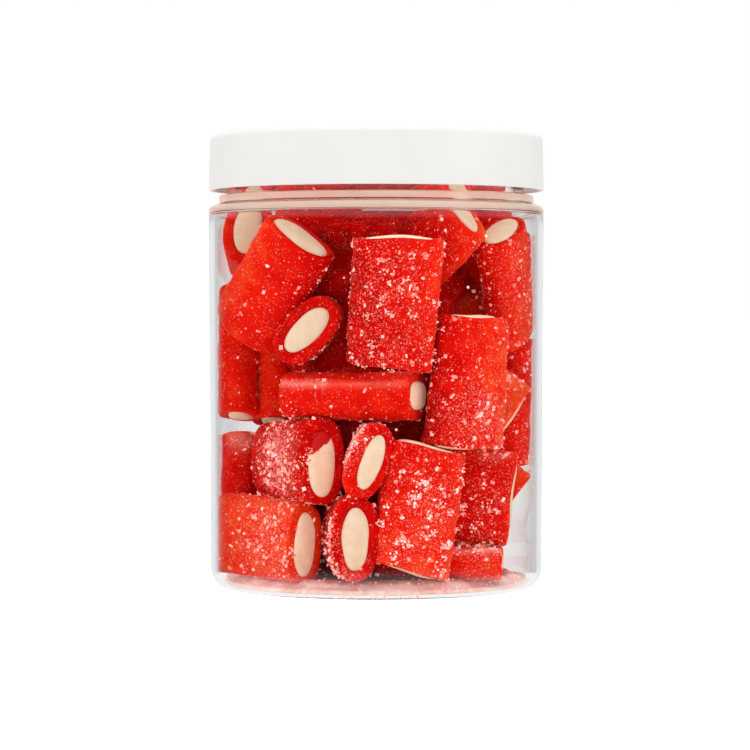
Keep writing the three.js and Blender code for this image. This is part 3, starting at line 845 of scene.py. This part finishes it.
def sugarMaterial():
    # table sugar crystals: bright, and tinted through and through by the red syrup they sit in;
    # the emission is painted light, which keeps the crystals' unlit sides from going dark
    material, tree = newMaterial("sugarCrystals")
    shade = addNode(tree, "ShaderNodeAttribute", attribute_name="shade").outputs["Fac"]
    colour = addNode(tree, "ShaderNodeValToRGB", {"Fac": shade},
                     [(0.0, "#ff4a34"), (0.4, "#ff8070"), (0.75, "#ffb2a6"), (1.0, "#ffe0d8")])
    shader = addNode(tree, "ShaderNodeBsdfPrincipled", {
        "Base Color": colour, "Roughness": 0.4, "IOR": 1.54, "Specular IOR Level": 0.15,
        "Emission Color": colour, "Emission Strength": 0.26})
    addNode(tree, "ShaderNodeOutputMaterial", {"Surface": shader})
    return material


grainShape = {"patchFade": 0.12, "inClump": (0.55, 1.1), "clump": (0.5, 1.15)}


def sugarTree(name):
    tree = bpy.data.node_groups.new(name, "GeometryNodeTree")
    inputs = [("Geometry", "NodeSocketGeometry"), ("Per square metre", "NodeSocketFloat"),
              ("Grain size", "NodeSocketFloat"), ("Grains in a clump", "NodeSocketInt"),
              ("Clump reach", "NodeSocketFloat"), ("Patch size", "NodeSocketFloat"),
              ("Patch edge", "NodeSocketFloat"), ("Reddest", "NodeSocketFloat"),
              ("Palest", "NodeSocketFloat"), ("Seed", "NodeSocketInt"),
              ("Material", "NodeSocketMaterial")]
    for label, kind in inputs:
        tree.interface.new_socket(label, in_out="INPUT", socket_type=kind)
    tree.interface.new_socket("Geometry", in_out="OUTPUT", socket_type="NodeSocketGeometry")
    given = addNode(tree, "NodeGroupInput").outputs

    # how thick: the coat painted on the sweets, broken into patches
    coat = addNode(tree, "GeometryNodeInputNamedAttribute", {"Name": "coat"}, data_type="FLOAT")
    frequency = addNode(tree, "ShaderNodeMath", {0: 1.0, 1: given["Patch size"]}, operation="DIVIDE")
    patches = addNode(tree, "ShaderNodeTexNoise", {"Scale": frequency, "Detail": 2.0})
    upper = addNode(tree, "ShaderNodeMath", {0: given["Patch edge"], 1: grainShape["patchFade"]},
                    operation="ADD")
    mask = addNode(tree, "ShaderNodeMapRange", {"Value": patches, "From Min": given["Patch edge"],
                   "From Max": upper})
    coated = addNode(tree, "ShaderNodeMath", {0: coat, 1: mask}, operation="MULTIPLY")
    density = addNode(tree, "ShaderNodeMath", {0: coated, 1: given["Per square metre"]},
                      operation="MULTIPLY")
    spread = addNode(tree, "GeometryNodeDistributePointsOnFaces",
                     {"Mesh": given["Geometry"], "Density": density, "Seed": given["Seed"]})

    # random places, turns and sizes, each from its own seed
    cubeSize, reach = [addNode(tree, "ShaderNodeCombineXYZ", {axis: given[label] for axis in "XYZ"})
                       for label in ("Grain size", "Clump reach")]
    back = addNode(tree, "ShaderNodeVectorMath", {0: reach, 1: (-1.0, -1.0, -1.0)}, operation="MULTIPLY")
    noTurn, fullTurn = (0.0, 0.0, 0.0), (6.283, 6.283, 6.283)
    ranges = {"place": (back, reach, 11), "grainTurn": (noTurn, fullTurn, 12),
              "grainScale": (*[(v, v, v) for v in grainShape["inClump"]], 13),
              "clumpTurn": (noTurn, fullTurn, 21),
              "clumpScale": (*[(v, v, v) for v in grainShape["clump"]], 22)}
    chance = {}
    for label, (low, high, offset) in ranges.items():
        seed = addNode(tree, "ShaderNodeMath", {0: given["Seed"], 1: float(offset)}, operation="ADD")
        chance[label] = addNode(tree, "FunctionNodeRandomValue", {"Min": low, "Max": high, "Seed": seed},
                                data_type="FLOAT_VECTOR")

    # one clump: a few cubes at random places
    cube = addNode(tree, "GeometryNodeMeshCube", {"Size": cubeSize})
    clumpPoints = addNode(tree, "GeometryNodePoints", {"Count": given["Grains in a clump"],
                          "Position": chance["place"]})
    clump = addNode(tree, "GeometryNodeInstanceOnPoints", {
        "Points": clumpPoints, "Instance": cube, "Rotation": chance["grainTurn"],
        "Scale": chance["grainScale"]})
    clump = addNode(tree, "GeometryNodeRealizeInstances", {"Geometry": clump})

    grains = addNode(tree, "GeometryNodeInstanceOnPoints", {
        "Points": spread, "Instance": clump, "Rotation": chance["clumpTurn"],
        "Scale": chance["clumpScale"]})
    shade = addNode(tree, "FunctionNodeRandomValue", {"Min": given["Reddest"], "Max": given["Palest"],
                    "Seed": given["Seed"]}, data_type="FLOAT")
    grains = addNode(tree, "GeometryNodeStoreNamedAttribute", {"Geometry": grains, "Name": "shade",
                     "Value": shade}, data_type="FLOAT", domain="INSTANCE")
    grains = addNode(tree, "GeometryNodeRealizeInstances", {"Geometry": grains})
    grains = addNode(tree, "GeometryNodeSetMaterial", {"Geometry": grains, "Material": given["Material"]})
    addNode(tree, "NodeGroupOutput", {"Geometry": grains})
    return tree


def scattered(name, source, tree, settings):
    # runs the tree over a copy of the source and keeps the result as a plain mesh
    carrier = bpy.data.objects.new(name + "Carrier", source.data.copy())
    bpy.context.scene.collection.objects.link(carrier)
    modifier = carrier.modifiers.new("sugar", "NODES")
    modifier.node_group = tree
    for socket in tree.interface.items_tree:
        if socket.in_out == "INPUT" and socket.name in settings:
            modifier[socket.identifier] = settings[socket.name]
    bpy.context.view_layer.update()
    evaluated = carrier.evaluated_get(bpy.context.evaluated_depsgraph_get())
    mesh = bpy.data.meshes.new_from_object(evaluated)
    mesh.name = name
    bpy.data.objects.remove(carrier)
    piece = bpy.data.objects.new(name, mesh)
    bpy.context.scene.collection.objects.link(piece)
    print(name, len(mesh.polygons), "faces")
    return piece


# lumps of clung-together crystals: across and along the sweet's seen side from -1 to 1, and reach in mm
lumps = {
    "a": [(-0.57, 0.81, 1), (-0.2, 0.7, 1.1), (-0.41, 0.69, 0.9), (0.39, 0.75, 1.2), (0.57, 0.78, 1.2),
          (1, 0.7, 1.3), (-0.23, 0.52, 1), (0, 0.52, 1), (0.23, 0.42, 0.9), (0, 0.36, 1),
          (-0.55, 0.25, 1.2), (-0.35, 0.08, 1.2), (0.18, 0.22, 1), (0.34, 0.13, 1.1), (0.77, 0.06, 0.9),
          (0.93, 0.04, 1), (-0.6, -0.12, 1), (-0.2, -0.13, 1.1), (0.3, -0.16, 1.1), (-0.66, -0.4, 0.8),
          (-0.45, -0.64, 1.1), (0.66, -0.52, 1), (0.9, -0.69, 1.1), (-0.9, -0.73, 1), (-0.5, -0.75, 1),
          (0.34, -0.88, 0.9), (0.82, -0.83, 1), (-0.2, -0.92, 1)],
    "n": [(0.05, 0.4, 1.9), (0.15, 0.33, 1.3), (-0.15, 0.2, 1.6), (-0.1, 0.1, 1.3), (0.5, 0.32, 1.1),
          (0.85, 0.25, 1.3), (0.35, 0.08, 1.3), (0.5, 0.06, 1), (0.25, -0.08, 1.6), (-0.7, 0.05, 1),
          (-0.85, -0.2, 1.3), (-0.35, -0.42, 1.5), (-0.5, -0.46, 1.3), (-0.25, -0.52, 1.6),
          (0.1, -0.38, 1.4), (0.3, -0.34, 1.2), (0.6, -0.52, 1.5), (-0.5, -0.66, 1.6), (0.5, -0.7, 1.5),
          (0.25, -0.74, 1.1), (0.45, -0.88, 1.6), (0.9, 0.45, 1), (0.0, 0.56, 0.8), (-0.6, 0.78, 0.7),
          (0.1, -0.2, 0.8), (0.7, -0.05, 0.9)],
    "o1": [(-0.3, 0.3, 1.1), (-0.1, 0.0, 1.4), (-0.35, -0.02, 1.2), (0.2, -0.25, 1.6), (0.55, -0.25, 1.3),
           (0.5, 0.25, 1.2), (0.0, -0.7, 1.3), (0.15, -0.6, 1.4), (0.35, -0.65, 1.2), (0.5, -0.6, 1),
           (-0.1, -0.9, 1.2)],
    "s": [(0.3, -0.25, 1.5), (0.15, -0.35, 1.2), (0.0, -0.2, 1.1), (-0.1, 0.35, 1), (-0.25, 0.5, 1.2),
          (-0.4, -0.1, 1), (0.45, -0.3, 1.2), (-0.7, -0.2, 1.2), (-0.1, 0.1, 1), (-0.55, 0.6, 1.2),
          (-0.3, -0.45, 1)],
    "q": [(0.2, 0.3, 1.2), (0.0, 0.1, 1.4), (-0.2, -0.1, 1.2), (-0.3, -0.35, 1.3), (0.1, -0.3, 1),
          (0.3, 0.0, 1.1)],
    "t": [(-0.85, 0.6, 0.8), (-0.9, 0.4, 0.9), (-0.84, 0.2, 0.8), (-0.88, 0.05, 1.1), (-0.8, -0.1, 0.9),
          (-0.9, -0.3, 0.9), (-0.78, -0.5, 1), (-0.85, -0.7, 0.9), (-0.65, -0.85, 1.1),
          (-0.5, -0.95, 0.9), (-0.2, 0.95, 0.8), (0.1, 0.97, 0.7)],
    "b": [(0.3, -0.5, 1.1), (0.6, -0.62, 1), (0.45, -0.3, 0.8), (-0.2, -0.97, 1), (0.8, 0.8, 0.8)],
}
lumpGrain = {"size": 0.52, "perSquareMm": 8, "spread": 1.1, "plain": 0.95, "palest": {"n": 1.2, "o1": 1.2},
             "wallRadius": 43.7, "seed": 12}
# single crystals stuck to the inside of the wall: right, up and reach
wallCrystals = [(23.6, 81.6, 0.45), (4.3, 98.2, 0.45), (1.5, 59.6, 0.5), (-8.2, 84.1, 0.35),
                (4.9, 44.8, 0.5), (-1, 43, 0.4), (36, 45, 0.4), (39, 37, 0.4), (34, 30, 0.4),
                (37, 21, 0.4), (-3, 60.8, 0.6), (3.6, 60.2, 0.5), (17, 63, 0.4), (13, 79, 0.4),
                (30, 92, 0.4), (-6, 75, 0.4), (-17, 107, 0.5), (10, 31, 0.6)]


def makeLumps():
    rng = np.random.default_rng(lumpGrain["seed"])
    corners = np.array([(x, y, z) for x in (-1, 1) for y in (-1, 1) for z in (-1, 1)]) / 2
    sides = [[0, 1, 3, 2], [4, 6, 7, 5], [0, 4, 5, 1], [2, 3, 7, 6], [0, 2, 6, 4], [1, 5, 7, 3]]
    parts, shades = [], []
    spots = [((right, -math.sqrt(lumpGrain["wallRadius"] ** 2 - right ** 2), up), reach, lumpGrain["plain"])
             for right, up, reach in wallCrystals]
    for name, places in lumps.items():
        skin = skinPoints[name]
        low, high = skin.min(axis=0), skin.max(axis=0)
        front = skin[skin[:, 1] < (low[1] + high[1]) / 2]
        low, high = front.min(axis=0), front.max(axis=0)
        for across, up, reach in places:
            target = ((low[0] + high[0]) / 2 + across * (high[0] - low[0]) / 2 * 0.97,
                      (low[2] + high[2]) / 2 + up * (high[2] - low[2]) / 2 * 0.97)
            away = np.hypot(front[:, 0] - target[0], front[:, 2] - target[1]) + 0.25 * (front[:, 1] - low[1])
            spots.append((front[np.argmin(away)], reach,
                          lumpGrain["palest"].get(name, lumpGrain["plain"])))
    for middle, reach, palest in spots:
        squash = rng.uniform(0.6, 1.3, 2) * lumpGrain["spread"]
        for _ in range(max(1, int(lumpGrain["perSquareMm"] * reach ** 2))):
            angle, far = rng.uniform(0, 6.283), reach * math.sqrt(rng.uniform(0, 1))
            offset = np.array([far * math.cos(angle) * squash[0], rng.uniform(-0.45, 0.15),
                               far * math.sin(angle) * squash[1]])
            spin = axesOf(*rng.uniform(0, 360, 3))
            size = lumpGrain["size"] * rng.uniform(0.5, 1.2) * (1 - 0.3 * far / reach)
            parts.append((keptInside((corners * size) @ spin.T + middle + offset, 0.03), sides))
            shades += [rng.uniform(0.35, 1.0) * palest] * 8
    points, faces = joined(parts)
    print("lump grains", len(parts))
    return makePiece("sugarLumps", points, faces, sugar, {"shade": shades}, smooth=False)


sugar = sugarMaterial()
grainTree = sugarTree("sugarScatter")
sugarLumps = makeLumps()
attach(sugarLumps, "root")
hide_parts("sweets")
sugarLumps.visible_shadow = False      # crystals are clear, so they shade nothing
sugarLumps.visible_diffuse = False


bed = {"sides": 96, "panelDepth": 0.3, "grooveDepth": 0.9, "edge": 42.2, "top": 5.0, "lift": 0.04}


def makeBed():
    # sugar fallen to the floor: a thin sheet on the raised panel, coloured dark red as a painted reflection
    # of the sweets, and a fuller ring of pale sugar in the groove
    floorHeight = jar["panelRise"] + jar["floorThickness"]
    under = [(r, h + bed["lift"]) for r, h in insideProfile() if r < bed["edge"] and h < bed["top"]]
    over = [(r * (1 - 0.0004 * r), h + bed["panelDepth" if r < jar["panelRadius"] else "grooveDepth"])
            for r, h in under[1:]]
    middle = (0, floorHeight + bed["lift"] + bed["panelDepth"])
    points, faces = turned(under + over[::-1] + [middle], bed["sides"])
    points = np.array(points)
    far = np.hypot(points[:, 0], points[:, 1])
    groove = np.clip((far - jar["panelRadius"] + 0.5) / 2, 0, 1)
    attributes = {"groove": groove, "coat": 0.12 + 0.9 * groove}
    return makePiece("sugarBed", points, faces, bedMaterial(), attributes)


def bedMaterial():
    # on the panel a dark red, a painted reflection of the sweets in the floor; paler fallen sugar where it
    # lies thick in the groove
    material, tree = newMaterial("fallenSugarAndReflection")
    place = addNode(tree, "ShaderNodeTexCoord").outputs["Object"]
    groove = addNode(tree, "ShaderNodeAttribute", attribute_name="groove").outputs["Fac"]
    cloud = addNode(tree, "ShaderNodeTexNoise", {"Vector": place, "Scale": 1 / (3.8462 * mm), "Detail": 4.0})
    drift = addNode(tree, "ShaderNodeMapRange", {"Value": cloud, "From Min": 0.3, "From Max": 0.7,
                    "To Min": 0.0, "To Max": 0.4}, interpolation_type="SMOOTHSTEP")
    shade = addNode(tree, "ShaderNodeMath", {0: groove, 1: 0.55, 2: drift}, operation="MULTIPLY_ADD")
    colour = addNode(tree, "ShaderNodeValToRGB", {"Fac": shade},
                     [(0.0, "#b03028"), (0.4, "#d06a5c"), (0.6, "#eab4a6"), (1.0, "#f8e2da")])
    bump = addNode(tree, "ShaderNodeBump", {"Height": cloud, "Strength": 0.5, "Distance": 0.3 * mm})
    shader = addNode(tree, "ShaderNodeBsdfPrincipled", {
        "Base Color": colour, "Roughness": 0.5, "Subsurface Weight": 0.5,
        "Subsurface Radius": (1.0, 0.5, 0.4), "Subsurface Scale": 1 * mm, "Normal": bump})
    addNode(tree, "ShaderNodeOutputMaterial", {"Surface": shader})
    return material


sugarBed = makeBed()
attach(sugarBed, "root")
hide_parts("sweets")

# single coarse grains, fine dust, clumps of seven, and the loose grains on the bed
coarse = {"Per square metre": 1.5e5, "Grain size": 0.9 * mm, "Grains in a clump": 1,
          "Clump reach": 0.0001 * mm, "Patch size": 4.0 * mm, "Patch edge": 0.42,
          "Reddest": 0.45, "Palest": 1.0, "Seed": 3, "Material": sugar}
fine = {**coarse, "Per square metre": 8.0e5, "Grain size": 0.42 * mm, "Patch size": 3.0 * mm,
        "Patch edge": 0.38, "Reddest": 0.0, "Palest": 0.8, "Seed": 5}
clumps = {**coarse, "Per square metre": 4.0e4, "Grain size": 0.62 * mm, "Grains in a clump": 7,
          "Clump reach": 0.7 * mm, "Patch size": 6.0 * mm, "Patch edge": 0.45, "Reddest": 0.4, "Seed": 8}
loose = {**coarse, "Per square metre": 3.5e5, "Grain size": 0.55 * mm, "Seed": 31}

for name, source, settings in (("sugarGrains", gummySkins, coarse), ("sugarDust", gummySkins, fine),
                               ("sugarClumps", gummySkins, clumps), ("sugarLoose", sugarBed, loose)):
    piece = scattered(name, source, grainTree, settings)
    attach(piece, "root")
    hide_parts("sweets")
    piece.visible_shadow = False
    piece.visible_diffuse = False
print("sugar scattered")


# ---- floor, light and background

studio = {
    "floorSize": 60.0, "floorGlow": 0.95, "aim": (0, 0, 0.06),
    "sideStrength": 2.5, "sideSize": 0.8, "sideAngle": 62.0, "sideDistance": 0.85, "sideHeight": 0.2,
    "topStrength": 4.3, "topSize": 0.8, "topPlace": (0, -0.1, 0.9),
    "worldDiffuse": 0.69, "worldGloss": 0.95, "worldSeen": 1.0,
    "whiteBehind": (0.68, 0.96), "whiteAbove": (0.1, 0.15),
}


def paleFloorMaterial():
    # a plain white paper sweep, lit until it is as white as the background
    material, tree = newMaterial("paleFloor")
    path = addNode(tree, "ShaderNodeLightPath").outputs
    seen = addNode(tree, "ShaderNodeMath", {0: path["Is Camera Ray"], 1: studio["floorGlow"]},
                   operation="MULTIPLY")
    shader = addNode(tree, "ShaderNodeBsdfPrincipled", {
        "Base Color": "#ffffff", "Roughness": 0.9, "Specular IOR Level": 0.0,
        "Emission Color": "#ffffff", "Emission Strength": seen})
    addNode(tree, "ShaderNodeOutputMaterial", {"Surface": shader})
    return material


def makeFloor():
    half = studio["floorSize"] / 2 / mm
    points = [(-half, -half, -0.05), (half, -half, -0.05), (half, half, -0.05), (-half, half, -0.05)]
    return makePiece("floor", points, [[0, 1, 2, 3]], paleFloorMaterial(), smooth=False)


def areaLight(name, place, target, size, power):
    data = bpy.data.lights.new(name, "AREA")
    data.shape = "RECTANGLE"
    data.size, data.size_y = size
    data.energy = power
    light = bpy.data.objects.new(name, data)
    light.location = place
    light.rotation_euler = (Vector(target) - Vector(place)).to_track_quat("-Z", "Y").to_euler()
    light.visible_camera = False
    light.visible_glossy = False
    light.visible_transmission = False
    bpy.context.scene.collection.objects.link(light)


def lightStudio():
    size, distance = studio["sideSize"], studio["sideDistance"]
    angle = math.radians(studio["sideAngle"])
    for side in (-1, 1):
        place = (side * distance * math.sin(angle), -distance * math.cos(angle), studio["sideHeight"])
        areaLight("sideLight", place, studio["aim"], (size, size), studio["sideStrength"])
    areaLight("topLight", studio["topPlace"], studio["aim"], (studio["topSize"], studio["topSize"]),
              studio["topStrength"])

    world = bpy.data.worlds.new("studio")
    bpy.context.scene.world = world
    world.use_nodes = True
    tree = world.node_tree
    tree.nodes.clear()
    path = addNode(tree, "ShaderNodeLightPath").outputs
    direction = addNode(tree, "ShaderNodeTexCoord").outputs["Generated"]
    parts = addNode(tree, "ShaderNodeSeparateXYZ", {"Vector": direction}).outputs
    # reflections meet a dark room level with the jar, and white behind, above and below it
    steep = addNode(tree, "ShaderNodeMath", {0: parts["Z"]}, operation="ABSOLUTE")
    behind, above = [addNode(tree, "ShaderNodeMapRange", {"Value": value, "From Min": low, "From Max": high},
                             interpolation_type="SMOOTHSTEP")
                     for value, (low, high) in ((parts["Y"], studio["whiteBehind"]),
                                                (steep, studio["whiteAbove"]))]
    bright = addNode(tree, "ShaderNodeMath", {0: behind, 1: above}, operation="MAXIMUM")
    again, reflected = [addNode(tree, "ShaderNodeMath", {0: path["Glossy Depth"], 1: depth},
                                operation="GREATER_THAN") for depth in (1.5, 0.5)]
    bright = addNode(tree, "ShaderNodeMath", {0: bright, 1: again}, operation="MAXIMUM")
    gloss = addNode(tree, "ShaderNodeMath", {0: bright, 1: studio["worldGloss"]}, operation="MULTIPLY")
    through = addNode(tree, "ShaderNodeMix", {"Factor": reflected, "A": studio["worldSeen"], "B": gloss})
    beyond = addNode(tree, "ShaderNodeMix", {"Factor": path["Is Diffuse Ray"], "A": through,
                     "B": studio["worldDiffuse"]})
    strength = addNode(tree, "ShaderNodeMix", {"Factor": path["Is Camera Ray"], "A": beyond, "B": 1.0})
    background = addNode(tree, "ShaderNodeBackground", {"Color": "#ffffff", "Strength": strength})
    addNode(tree, "ShaderNodeOutputWorld", {"Surface": background})


floor = makeFloor()
floor.visible_glossy = False
floor.visible_transmission = False
lightStudio()
bpy.context.scene.view_settings.view_transform = "Standard"
bpy.context.scene.view_settings.look = "None"
print("studio lit")
